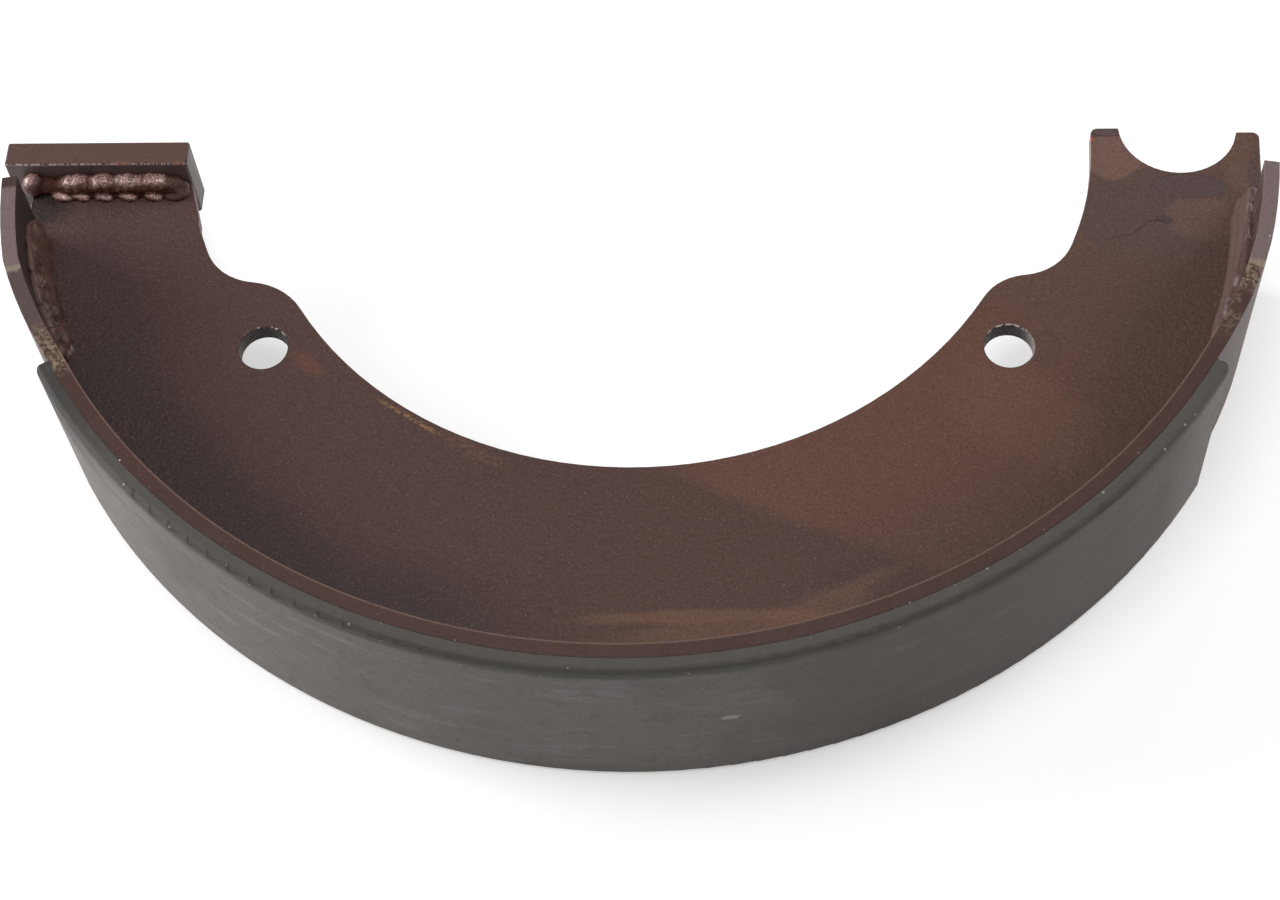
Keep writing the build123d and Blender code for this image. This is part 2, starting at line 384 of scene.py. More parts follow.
def rim_bead(name, rows, laps, side, grain, depth):
    """A bead in the corner of rim and web, over (side 1) or under (side -1) the web."""
    face = WEB_TOP if side > 0 else WEB_UNDER
    places = []

    def drop(angle, off_rim, height, half_length, half_out, half_up):
        x, y = around(rim_inside(angle) - off_rim * MM, angle)
        places.append(((x, y, face + side * height * MM),
                       (half_length, half_out * MM, half_up * MM), radians(angle)))

    for row, after in zip(rows, rows[1:]):
        for step in range(STEPS):
            angle, on_web, on_rim = (a + (b - a) * step / STEPS for a, b in zip(row, after))
            for off, off_mm, up, out, out_mm, tall in SECTION:
                drop(angle, off * on_web + off_mm, up * on_rim, DROP_HALF_LENGTH,
                     out * on_web + out_mm, tall * on_rim)
    for angle, half_length, on_web, height in laps:
        drop(angle, LAP_OFF * on_web, height, half_length * MM, LAP_OUT * on_web,
             height + LAP_RISE_MM)
    bead = melt(name, places, RIM_VOXEL, RIM_SMOOTHING)
    roughen(bead, grain, depth)
    trim(bead, (0, 0, face - side * EMBED), (0, 0, -side))
    take(bead)
    bpy.ops.object.shade_smooth()
    print(name, len(bead.data.polygons), "faces")
    return bead


toe_beads = [rim_bead("toe_weld_upper_bead", TOE_BEAD, TOE_LAPS, 1, *TOE_HILLS),
             rim_bead("toe_weld_lower_bead", TOE_BEAD, TOE_LAPS, -1, *TOE_HILLS)]
heel_beads = [rim_bead("heel_weld_upper_bead", HEEL_BEAD, (), 1, *HEEL_HILLS),
              rim_bead("heel_weld_lower_bead", HEEL_BEAD, (), -1, *HEEL_HILLS)]

# %% [markdown]
# A material is a graph of nodes, but its sums read better as sums. A Wire is one socket of
# that graph: adding or multiplying Wires adds the Math nodes. A Finish is a material that is
# being built, and it makes any other node from its type, its settings and its inputs.

# %% Shader sums
class Wire:
    """A number or colour on its way through a material."""

    def __init__(self, finish, socket):
        self.finish, self.socket = finish, socket

    def sum(self, operation, *values):
        return self.finish.sum(operation, *values)

    def __add__(self, other):
        return self.sum("ADD", self, other)

    def __sub__(self, other):
        return self.sum("SUBTRACT", self, other)

    def __rsub__(self, other):
        return self.sum("SUBTRACT", other, self)

    def __mul__(self, other):
        return self.sum("MULTIPLY", self, other)

    def __pow__(self, other):
        return self.sum("POWER", self, other)

    __radd__, __rmul__ = __add__, __mul__

    def most(self, other):
        return self.sum("MAXIMUM", self, other)

    def least(self, other):
        return self.sum("MINIMUM", self, other)

    def size(self):
        return self.sum("ABSOLUTE", self)


def srgb(red, green, blue):
    """A colour as a screen shows it, 0 to 255, as the light that it stands for."""
    def light(value):
        value /= 255
        return value / 12.92 if value <= 0.04045 else ((value + 0.055) / 1.055) ** 2.4
    return light(red), light(green), light(blue), 1


class Finish:
    """A material that is being built."""

    def __init__(self, name):
        self.material = bpy.data.materials.new(name)
        self.material.use_nodes = True
        self.tree = self.material.node_tree
        self.tree.nodes.clear()
        self.place = self.add("TexCoord", {}, {}, "Object")
        parts = self.tree.nodes.new("ShaderNodeSeparateXYZ")
        self.tree.links.new(self.place.socket, parts.inputs[0])
        self.x, self.y, self.z = (Wire(self, output) for output in parts.outputs)

    def add(self, kind, settings, inputs, output=0):
        """Any node, as the Wire from one of its outputs."""
        node = self.tree.nodes.new("ShaderNode" + kind)
        for name, value in settings.items():
            setattr(node, name, value)
        for name, value in inputs.items():
            if isinstance(value, Wire):
                self.tree.links.new(value.socket, node.inputs[name])
            else:
                node.inputs[name].default_value = value
        return Wire(self, node.outputs[output])

    def mix(self, first, second, share):
        """The first colour, going over to the second as share goes from 0 to 1."""
        return self.add("Mix", {"data_type": "RGBA"}, {0: share, 6: first, 7: second}, 2)

    def step(self, value, low, high):
        """0 below low and 1 above high, with a soft rise between them."""
        return self.add("MapRange", {"interpolation_type": "SMOOTHSTEP"},
                        {"Value": value, "From Min": low, "From Max": high})

    def noise(self, grain, detail=3.0, rough=0.5, stretch=(1, 1, 1), shift=(0, 0, 0)):
        """Cloudy noise from 0 to 1, whose clouds are about grain metres across."""
        where = self.add("Mapping", {}, {"Vector": self.place, "Scale": stretch,
                                         "Location": shift})
        return self.add("TexNoise", {}, {"Vector": where, "Scale": 1 / grain,
                                         "Detail": detail, "Roughness": rough})

    def radius(self):
        """The distance from the drum's axis."""
        return (self.x * self.x + self.y * self.y) ** 0.5

    def angle(self):
        """The angle round the drum's axis from the shoe's middle, in degrees."""
        return self.sum("ARCTAN2", self.x, self.y * -1.0) * degrees(1)

    def sum(self, operation, *values):
        """Any sum of Wires and numbers."""
        return self.add("Math", {"operation": operation}, dict(enumerate(values)))

    def patch(self, centre, half_sizes, angle=0, edge=0.3, wander=0.0, wander_grain=6 * MM):
        """1 inside an oval place on the surface and 0 outside, with a wandering edge."""
        inside = self.add("Mapping", {"vector_type": "TEXTURE"},
                          {"Vector": self.place, "Location": centre,
                           "Rotation": (0, 0, radians(angle)), "Scale": half_sizes})
        far = self.add("VectorMath", {"operation": "LENGTH"}, {0: inside}, "Value")
        if wander:
            far = far + (self.noise(wander_grain) - 0.5) * wander
        return 1 - self.step(far, 1 - edge, 1 + edge)

    def specks(self, grain, share, size, shift=(0, 0, 0)):
        """Small round specks: cells grain apart, of which a share holds a speck."""
        where = self.add("Mapping", {}, {"Vector": self.place, "Location": shift})
        cells = {"Vector": where, "Scale": 1 / grain}
        near = self.add("TexVoronoi", {}, cells, "Distance")
        pick = self.add("TexVoronoi", {}, cells, "Color")
        chance = self.add("SeparateColor", {}, {0: pick})
        speck = 1 - self.step(near, size * 0.6, size)
        return speck * self.step(chance, 1 - share, 1.001 - share)

    def bump(self, height, depth):
        """A surface normal that rises and falls with height, by depth metres."""
        return self.add("Bump", {}, {"Height": height, "Distance": depth, "Strength": 1.0})

    def close(self, surface):
        """Ends the material with a shader."""
        end = self.tree.nodes.new("ShaderNodeOutputMaterial")
        self.tree.links.new(surface.socket, end.inputs[0])
        print(self.material.name, len(self.tree.nodes), "nodes")
        return self.material

    def done(self, colour, roughness, normal, coat=0.0, **fixed):
        """Closes the material with a Principled shader."""
        inputs = {"Base Color": colour, "Roughness": roughness, "Normal": normal,
                  "Coat Weight": coat}
        inputs.update((name.replace("_", " "), value) for name, value in fixed.items())
        return self.close(self.add("BsdfPrincipled", {}, inputs))


# %% [markdown]
# All the primer has the same fine grain and orange-peel skin. Its other features are soft masks
# over the plate, set in millimetres from the drum's axis: ovals with a wandering edge, and a
# line across the plate.

# %% Grain, patches and lines of the primer
def primer_grain(finish):
    """Fine mottling of the primer, from 0 to 1, and its orange-peel height."""
    fine = finish.noise(0.55 * MM, detail=3.0, rough=0.6)
    peel = finish.noise(1.2 * MM, detail=2.0, rough=0.5)
    return fine, peel


def mottle(finish, colour, fine, dark, pale):
    """Dark and pale grains, each given as a tone, the noise's two limits and a share."""
    tone, low, high, share = dark
    colour = finish.mix(colour, srgb(*tone), (1 - finish.step(fine, low, high)) * share)
    tone, low, high, share = pale
    return finish.mix(colour, srgb(*tone), finish.step(fine, low, high) * share)


def oval(finish, x, y, half_x, half_y, angle=0, edge=0.3, wander=0.0, grain=6):
    """A patch on the web's upper face, from sizes in millimetres."""
    return finish.patch((x * MM, y * MM, WEB_TOP), (half_x * MM, half_y * MM, 4 * MM), angle,
                        edge, wander, grain * MM)


def beyond_line(finish, x, y, heading, soft, wander):
    """1 to the left of a line on the plate, seen along its heading, and 0 to the right."""
    north, east = cos(radians(heading)), sin(radians(heading))
    across = (finish.y - y * MM) * north - (finish.x - x * MM) * east
    across = across + (finish.noise(9 * MM) - 0.5) * (wander * MM)
    return finish.step(across, -soft * MM, soft * MM)


# %% [markdown]
# The web's coat is a thin red-brown primer. Towards the toe, and along the rim, it is thicker
# and more purple. Right of a slanting line across the plate it is lighter and warmer. Every
# change of tone is a soft step over the distance from the drum's axis or the angle round it.

# %% The web's coat
WARM_FADES_R = (118 * MM, 165 * MM)
PURPLE_FROM_R = (136 * MM, 150 * MM)
RIM_FOOT_FROM_R = (158 * MM, 166 * MM)
WARM_FROM_X = (0, 25 * MM)
# angles from the shoe's middle, in degrees
TOE_TONE_FADES, HEEL_TONE_FROM = (-62, -8), (52, 66)
PURPLE_FADES, PURPLE_DEEP_TO = (-20, -6), (-76, -60)
RIM_FOOT_FROM, RIM_FOOT_TO = (-50, -10), (55, 66)


def web_coat(f, cloud, turn):
    """Dark at the toe and the rim, and warm right of the slanting line."""
    r = f.radius()
    colour = f.mix(srgb(73, 51, 46), srgb(76, 53, 47), f.step(cloud, 0.35, 0.65))
    toe_tone = 1 - f.step(turn, *TOE_TONE_FADES)
    colour = f.mix(colour, srgb(78, 54, 50), toe_tone * 0.9)
    warm = beyond_line(f, 37, -117, -23, 2.6, 5) * f.step(f.x, *WARM_FROM_X)
    colour = f.mix(colour, srgb(93, 61, 50), warm * (1 - f.step(r, *WARM_FADES_R) * 0.75))
    colour = f.mix(colour, srgb(84, 60, 51), f.step(turn, *HEEL_TONE_FROM) * 0.8)
    purple = (f.step(r + (cloud - 0.5) * (20 * MM), *PURPLE_FROM_R)
              * (1 - f.step(turn, *PURPLE_FADES)))
    depth = 0.35 + f.step(turn, *PURPLE_DEEP_TO) * 0.5
    colour = f.mix(colour, srgb(57, 44, 44), purple * depth)
    rim_foot = (f.step(r, *RIM_FOOT_FROM_R) * f.step(turn, *RIM_FOOT_FROM)
                * (1 - f.step(turn, *RIM_FOOT_TO)))
    colour = f.mix(colour, srgb(70, 47, 42), rim_foot * 0.7)
    toe_dark = oval(f, -140, -62, 26, 30, -25, 0.7, 0.4)
    return f.mix(colour, srgb(62, 49, 49), toe_dark * 0.3)


# %% [markdown]
# Where the paint is thin, the steel's rust tints it. Most of the thin places are streaks beside
# the rim, and there is one at the heel's tip and one below its hole. A small rust tint lies beside
# the toe's hole. Near the inner edge are a scratch and a rubbed place, which fine flaking breaks
# up.

# %% Thin and rubbed places
# each thin place: x, y and half sizes in millimetres, its turn in degrees and its share
THIN_PLACES = (
    (18, -146.5, 27, 1.8, 2, 0.75), (28, -150, 30, 3.2, 6, 0.55), (50, -143, 12, 3.4, 20, 0.6),
    (61, -136, 9, 1.8, 24, 0.45), (163, -4, 4, 10, -8, 0.35), (102, -88, 20, 12, -35, 0.35),
)


def thin_places(f, colour, cloud):
    """The coat with rust showing through its thin places."""
    for x, y, half_x, half_y, angle, share in THIN_PLACES:
        place = oval(f, x, y, half_x, half_y, angle, 0.45, 0.9)
        colour = f.mix(colour, srgb(108, 77, 61), place * share * (0.55 + cloud * 0.5))
    rust_tint = oval(f, -86.3, -71.9, 5.2, 2.2, -42, 0.5, 0.6)
    colour = f.mix(colour, srgb(112, 68, 50), rust_tint * 0.4)
    flakes = f.noise(1.1 * MM, detail=4.0, rough=0.7, stretch=(0.6, 1, 1))
    flaking = f.step(flakes, 0.44, 0.56)
    scratch = oval(f, -57.3, -88.9, 9.6, 0.62, -33, 0.5, 0.9, 3)
    colour = f.mix(colour, srgb(150, 112, 74), scratch * flaking * 0.75)
    rubbed = oval(f, -41, -98.4, 10, 2.0, -29, 0.6, 0.9, 4)
    return f.mix(colour, srgb(112, 74, 62), rubbed * flaking * 0.5)


# %% [markdown]
# Liquids that dried at the heel left tide marks: a soft dark zone, with crisp islands and a dark
# lobe in it. A crisp mark is an oval with its own tone, and its outline is what the oval covers
# beyond a slightly smaller one. Beside the block lies a dark patch: soot from the welding, and
# painted shadow.

# %% Tide marks, cracks, and soot with painted shadow
# each mark: x, y and half sizes in millimetres, its turn in degrees, its share, its tone, and
# the share of its dark outline
TIDE_MARKS = (
    (129.4, -5.4, 7.6, 8.2, 12, 0.85, (108, 80, 71), 0.25),
    (151.6, -26.6, 10.2, 7.6, -6, 0.8, (95, 69, 61), 0.3),
    (163.5, -13.0, 4.5, 4.6, 0, 0.5, (92, 68, 60), 0.0),
    (148.8, -15.5, 10.2, 3.9, -3, 0.85, (76, 60, 59), 0.45),
    (141.6, -26.6, 2.3, 1.3, -20, 0.8, (66, 53, 54), 0.5),
    (127.6, 4.2, 7.2, 2.6, -5, 0.7, (80, 66, 66), 0.9),
    (166.8, -13, 1.6, 6.6, 4, 0.6, (68, 54, 54), 0.2),
    (107.8, -67.6, 4.2, 5.6, 0, 0.22, (66, 50, 51), 0.25),
)
OUTLINE_MM = 0.35
# each crack: x, y and half length in millimetres, and its turn in degrees
CRACKS = ((139.6, -26.9, 2.6, 3), (135.2, -29.2, 3.0, 42), (130, -32, 3.0, 14))
CRACK_HALF_WIDTH_MM = 0.28


def tide_marks(f, colour):
    """The coat with the stains at its two ends, and soot with painted shadow beside the block."""
    zone = oval(f, 136, -22.5, 21, 13.5, 0, 0.28, 0.5, 12)
    colour = f.mix(colour, srgb(80, 61, 58), zone * 0.7)
    for x, y, half_x, half_y, angle, share, tone, line in TIDE_MARKS:
        place = oval(f, x, y, half_x, half_y, angle, 0.08, 0.42, 7)
        inner = oval(f, x, y, half_x - OUTLINE_MM, half_y - OUTLINE_MM, angle, 0.08, 0.42, 7)
        colour = f.mix(colour, srgb(*tone), place * share)
        colour = f.mix(colour, srgb(50, 38, 38), (place - inner).most(0.0) * line)
    low_band = oval(f, 142, -36, 15, 4, -4, 0.7, 0.6)
    colour = f.mix(colour, srgb(76, 59, 57), low_band * 0.4)
    for x, y, half_x, angle in CRACKS:
        crack = oval(f, x, y, half_x, CRACK_HALF_WIDTH_MM, angle, 0.5, 0.5, 3)
        colour = f.mix(colour, srgb(54, 40, 39), crack * 0.75)
    # soot from the welding beside the block, darkened further as painted shadow
    soot_and_shadow = oval(f, -166, -19.5, 7.5, 7.0, 0, 0.6, 0.5)
    colour = f.mix(colour, srgb(30, 24, 23), soot_and_shadow * 0.85)
    drop = f.patch((123.8 * MM, 0.7 * MM, 30.4 * MM), (1.1 * MM, 1.0 * MM, 1.5 * MM), 0, 0.4)
    return f.mix(colour, srgb(196, 88, 54), drop * 0.9)


# %% [markdown]
# A plate's cut edge shows in the height alone: it is what lies between the two faces. Round the
# heel's end it carries a pale pink painted highlight. The walls of the two holes are dark, painted
# shade, and one side of the heel-side hole is painted lit. Paint is chipped off the far lip of
# each.

# %% Cut edges and holes
WALL_FADES = (2.1 * MM, 2.45 * MM)
HEEL_EDGE_HIGHLIGHT_FROM = (70, 74)
HOLE_X, HOLE_Y = 98.5 * MM, -67 * MM
HOLE_WALL_FADES = (6.75 * MM, 6.9 * MM)
LIT_WALL_FROM_X = (101.5 * MM, 105 * MM)
LIP_FROM, LIP_TO = (6.45 * MM, 6.6 * MM), (6.9 * MM, 7.1 * MM)
FAR_LIP_FROM_Y = (-64 * MM, -62 * MM)


def edges_and_holes(f, colour, turn):
    """The coat with a painted highlight on the cut edge at the heel, painted shade and light on
    the hole walls, and chipped lips.
    """
    wall = 1 - f.step((f.z - MID_Z).size(), *WALL_FADES)
    # a pale pink painted highlight on the cut edge round the heel
    colour = f.mix(colour, srgb(150, 122, 120), wall * f.step(turn, *HEEL_EDGE_HIGHLIGHT_FROM) * 0.9)
    from_hole = ((f.x.size() - HOLE_X) ** 2 + (f.y - HOLE_Y) ** 2) ** 0.5
    hole = 1 - f.step(from_hole, *HOLE_WALL_FADES)
    # the hole walls: painted shade, and painted light on the lit side of the heel-side hole
    colour = f.mix(colour, srgb(54, 44, 40), hole)
    colour = f.mix(colour, srgb(124, 114, 110), hole * f.step(f.x, *LIT_WALL_FROM_X))
    lip = f.step(from_hole, *LIP_FROM) * (1 - f.step(from_hole, *LIP_TO))
    chips = lip * f.step(f.y, *FAR_LIP_FROM_Y) * f.step(f.noise(0.9 * MM), 0.5, 0.56)
    return f.mix(colour, srgb(196, 184, 178), chips * 0.7)


# %% [markdown]
# The web's finish is those layers in order, from the coat to the marks on it. The grain,
# pinholes and dust come last, because they lie over everything.

# %% Primer on the web
def web_paint():
    f = Finish("web_primer")
    fine, peel = primer_grain(f)
    cloud, turn = f.noise(45 * MM, detail=3.0), f.angle()
    colour = web_coat(f, cloud, turn)
    colour = thin_places(f, colour, cloud)
    colour = tide_marks(f, colour)
    colour = edges_and_holes(f, colour, turn)
    colour = mottle(f, colour, fine, ((34, 23, 20), 0.32, 0.50, 0.38),
                    ((128, 100, 90), 0.56, 0.72, 0.40))
    pinholes = f.specks(2.0 * MM, 0.10, 0.10)
    colour = f.mix(colour, srgb(150, 130, 122), pinholes * 0.5)
    dust = f.specks(14 * MM, 0.12, 0.03, (3, 1, 2))
    colour = f.mix(colour, srgb(226, 214, 206), dust * 0.9)
    rough = 0.50 + (fine - 0.5) * 0.25
    return f.done(colour, rough, f.bump(peel + fine * 0.6, 0.24 * MM), Specular_IOR_Level=0.3)


# %% [markdown]
# The rim's sides were masked differently from its faces. Past the lining its side is gritty with
# golden dust, and the last stretch is bare purple-grey. Its inner edge carries a thin pale painted
# highlight. Inside, beside the welds, it is nearly black at the toe, with soot and painted shade,
# and at the heel it is streaked, with painted purple-grey glints.

# %% Primer on the rim
SIDE_FROM = (HALF_WIDTH - 0.35 * MM, HALF_WIDTH - 0.15 * MM)
OUTER_FACE_FROM_R = (169.2 * MM, 169.6 * MM)
BOND_FROM_R = (170.6 * MM, 171.1 * MM)
JOINT_FROM_R = (RIM_OUTER_R - 1.1 * MM, RIM_OUTER_R - 0.5 * MM)
EDGE_HIGHLIGHT_FADES = (0.25 * MM, 0.6 * MM)
# where the zones of paint begin and end, in degrees from the shoe's middle
TOE_TO_HEEL = (-10, 10)
BARE_FROM, LINE_FROM, LINE_TO = (69.6, 69.9), (69.0, 69.4), (69.7, 70.1)
TOE_GREY_FROM, TOE_TIP_FROM = (60, 64), (78.3, 78.8)
TOE_GOLD_FROM, TOE_GOLD_TO = (56.5, 58.5), (61, 64)
HEEL_GOLD_FROM, HEEL_GOLD_WHOLE_FROM = (60, 66), (66, 67.5)
TOE_SOOT_AND_SHADE_FROM, HEEL_STREAKS_AND_GLINTS_FROM = (50, 60), (64, 72)
BOND_SHOWS_TO = (58.5, 59.5)


def rim_paint():
    f = Finish("rim_primer")
    fine, peel = primer_grain(f)
    turn = f.angle()
    a, r = turn.size(), f.radius()
    fuzzy = a + (f.noise(2.2 * MM) - 0.5) * 1.0
    side_face = f.step((f.z - MID_Z).size(), *SIDE_FROM)
    outer_face = f.step(r, *OUTER_FACE_FROM_R)
    end_zone = f.step(fuzzy, *BARE_FROM) * side_face.most(outer_face)
    colour = f.mix(srgb(60, 39, 34), srgb(72, 47, 41), f.noise(9 * MM))
    heel = f.step(turn, *TOE_TO_HEEL)
    toe = 1 - heel

    # the sides past the lining: grey at the toe, and golden grit
    colour = f.mix(colour, srgb(80, 65, 63), f.step(a, *TOE_GREY_FROM) * toe)
    toe_gold = f.step(a, *TOE_GOLD_FROM) * (1 - f.step(fuzzy, *TOE_GOLD_TO)) * toe
    heel_gold = f.step(a, *HEEL_GOLD_FROM) * f.step(f.noise(7 * MM), 0.38, 0.56)
    gold = toe_gold + heel_gold.most(f.step(a, *HEEL_GOLD_WHOLE_FROM)) * heel
    grit = f.step(f.noise(1.3 * MM, detail=5.0, rough=0.75), 0.44, 0.58)
    colour = f.mix(colour, srgb(134, 118, 98), gold * grit * side_face * 0.85)

    # the bare ends, and the line where they begin
    colour = f.mix(colour, srgb(112, 96, 95), end_zone)
    colour = f.mix(colour, srgb(66, 50, 46), f.step(fuzzy, *TOE_TIP_FROM) * toe)
    line = f.step(fuzzy, *LINE_FROM) * (1 - f.step(fuzzy, *LINE_TO)) * side_face
    colour = f.mix(colour, srgb(150, 136, 120), line * 0.6)

    # the inner face beside the welds: soot and painted shade at the toe, paint streaks with
    # painted purple-grey glints at the heel
    inside = (1 - outer_face) * (1 - side_face)
    streaks_and_glints = f.noise(2.4 * MM, detail=3.0, stretch=(1, 1, 0.15))
    heel_streaks_and_glints = f.mix(srgb(66, 46, 42), srgb(96, 78, 77), f.step(streaks_and_glints, 0.46, 0.70))
    colour = f.mix(colour, srgb(40, 29, 27), inside * f.step(a, *TOE_SOOT_AND_SHADE_FROM) * toe)
    colour = f.mix(colour, heel_streaks_and_glints, inside * f.step(a, *HEEL_STREAKS_AND_GLINTS_FROM) * heel)

    # the painted highlight on the inner edge, the dark bond to the lining and the dust caught in
    # that joint
    edge_highlight = (1 - f.step((r - RIM_INNER_R).size(), *EDGE_HIGHLIGHT_FADES)) * side_face
    colour = f.mix(colour, srgb(116, 92, 82), edge_highlight * (1 - end_zone) * 0.6)
    bond = f.step(r, *BOND_FROM_R) * side_face * (1 - f.step(a, *BOND_SHOWS_TO))
    colour = f.mix(colour, srgb(40, 30, 28), bond * 0.6)
    joint = f.step(r, *JOINT_FROM_R)
    dust = f.specks(1.7 * MM, 0.2, 0.2) * joint * f.step(f.noise(9 * MM), 0.42, 0.58)
    colour = f.mix(colour, srgb(206, 198, 186), dust * 0.85)
    colour = mottle(f, colour, fine, ((38, 26, 23), 0.30, 0.50, 0.3),
                    ((130, 104, 92), 0.6, 0.78, 0.4))
    rough = 0.48 - end_zone * 0.06
    return f.done(colour, rough, f.bump(peel + fine * 0.6, 0.09 * MM), Specular_IOR_Level=0.3)


# %% [markdown]
# The block was handled by one edge, so the paint has chipped there to a fine broken line of bare
# metal with a little rust. Its front face, over the weld, is painted lighter than the rest:
# painted light that offsets the shade that face stands in.

# %% Paint on the block
FACE_DEPTH = (0.12 * MM, 0.35 * MM)
END_STEP_Y = (-8.6 * MM, -8.2 * MM)
CHIPPED_TO = (0.42 * MM, 0.62 * MM)
# the middle and half length of each rust spot on the chipped edge
RUST_SPOTS_MM = ((-142.3, 2.4), (-126.6, 1.6))


def block_paint():
    f = Finish("block_primer")
    fine, peel = primer_grain(f)
    colour = f.mix(srgb(82, 59, 53), srgb(90, 66, 60), f.noise(14 * MM))
    colour = f.mix(colour, srgb(98, 80, 75), oval(f, -172, -8, 6, 6, 0, 0.8, 0.6) * 0.7)
    scar = f.noise(3.2 * MM, detail=4.0, rough=0.7)
    colour = f.mix(colour, srgb(62, 50, 54), f.step(scar, 0.60, 0.68) * 0.5)
    # the front face is painted lighter: painted light that offsets the shade it stands in
    front_painted_light = 1 - f.step(f.y - block_low.y, *FACE_DEPTH)
    colour = f.mix(colour, srgb(104, 87, 85), front_painted_light)
    end_face = f.step(f.x - block_high.x, -FACE_DEPTH[1], -FACE_DEPTH[0])
    step_line = f.step(f.y + (f.z - block_high.z) * 0.12, *END_STEP_Y)
    colour = f.mix(colour, f.mix(srgb(74, 62, 61), srgb(92, 79, 79), step_line), end_face)
    near_edge = ((f.y - block_low.y) ** 2 + (f.z - block_high.z) ** 2) ** 0.5
    breaks = f.noise(0.75 * MM, detail=3.0, rough=0.7, stretch=(1, 0.3, 0.3))
    worn = (1 - f.step(near_edge, *CHIPPED_TO)) * f.step(breaks, 0.45, 0.53)
    colour = f.mix(colour, srgb(214, 190, 190), worn * 0.85)
    for x, half in RUST_SPOTS_MM:
        spot = f.patch((x * MM, block_low.y, block_high.z),
                       (half * MM, 0.8 * MM, 0.8 * MM), 0, 0.6, 1.2, 1.2 * MM)
        colour = f.mix(colour, srgb(136, 88, 62), spot * 0.65)
    colour = mottle(f, colour, fine, ((36, 26, 24), 0.30, 0.50, 0.3),
                    ((128, 104, 94), 0.6, 0.78, 0.35))
    return f.done(colour, 0.46 + (fine - 0.5) * 0.2, f.bump(peel + fine * 0.5, 0.08 * MM),
                  Specular_IOR_Level=0.3)


# %% [markdown]
# Over the block's weld the paint pooled thick and glossy, and the spatter under it roughens its
# gloss finely; pinkish, glittering highlights are painted on the top of its roll and on its
# ripples' toes. Over the rim welds it is the web's own paint, smoother, lighter at the heel, with
# painted purple-grey glints where it climbs the rim at the heel, and painted shade in the toe's
# creases.

# %% Paint on the welds
# middle and half length of each painted highlight on top of the roll
ROLL_HIGHLIGHTS_MM = ((-168.2, 2.0), (-156.4, 3.4), (-148.3, 3.2), (-140.6, 4.0), (-133.4, 3.0))
DULL_FROM_X = (-131.5 * MM, -129.5 * MM)
CLIMBS_TO_R = (164.5 * MM, 165.5 * MM)
HEEL_FROM_X = (-10 * MM, 10 * MM)


def weld_paint():
    f = Finish("weld_gloss")
    grit = f.noise(0.42 * MM, detail=3.0, rough=0.7)
    glitter = f.step(grit, 0.40, 0.56)
    colour = f.mix(srgb(50, 21, 14), srgb(80, 37, 27), f.noise(2.4 * MM))
    dull = f.step(f.x, *DULL_FROM_X)
    colour = f.mix(colour, srgb(58, 37, 32), dull * 0.7)
    # the top of the roll, and the ripples' flat toes, get pinkish glittering painted highlights in
    # places
    highlight_places = 0.0
    for x, half in ROLL_HIGHLIGHTS_MM:
        top = f.patch((x * MM, SEAM_Y - 2.4 * MM, WEB_TOP + 6.0 * MM),
                      (half * MM, 2.3 * MM, 2.6 * MM), 0, 0.45, 0.9, 1.6 * MM)
        highlight_places = top.most(highlight_places)
    for x in RIPPLES_MM[:-1]:
        toe = f.patch(((x + 0.4) * MM, SEAM_Y - 5.3 * MM, WEB_TOP + 0.9 * MM),
                      (2.3 * MM, 0.75 * MM, 1.4 * MM), -14, 0.5, 0.6, 1.5 * MM)
        highlight_places = (toe * 1.7).most(highlight_places)
    colour = f.mix(colour, srgb(214, 172, 166), (highlight_places * glitter * 0.66).least(1.0))
    rough = 0.34 - highlight_places * 0.10 + (grit - 0.5) * 0.25
    return f.done(colour, rough, f.bump(grit, 0.42 * MM), coat=(highlight_places * 0.8).least(1.0),
                  Coat_Roughness=0.2, Coat_IOR=1.6, IOR=1.5, Specular_IOR_Level=0.55,
                  Specular_Tint=(1.0, 0.74, 0.68, 1))


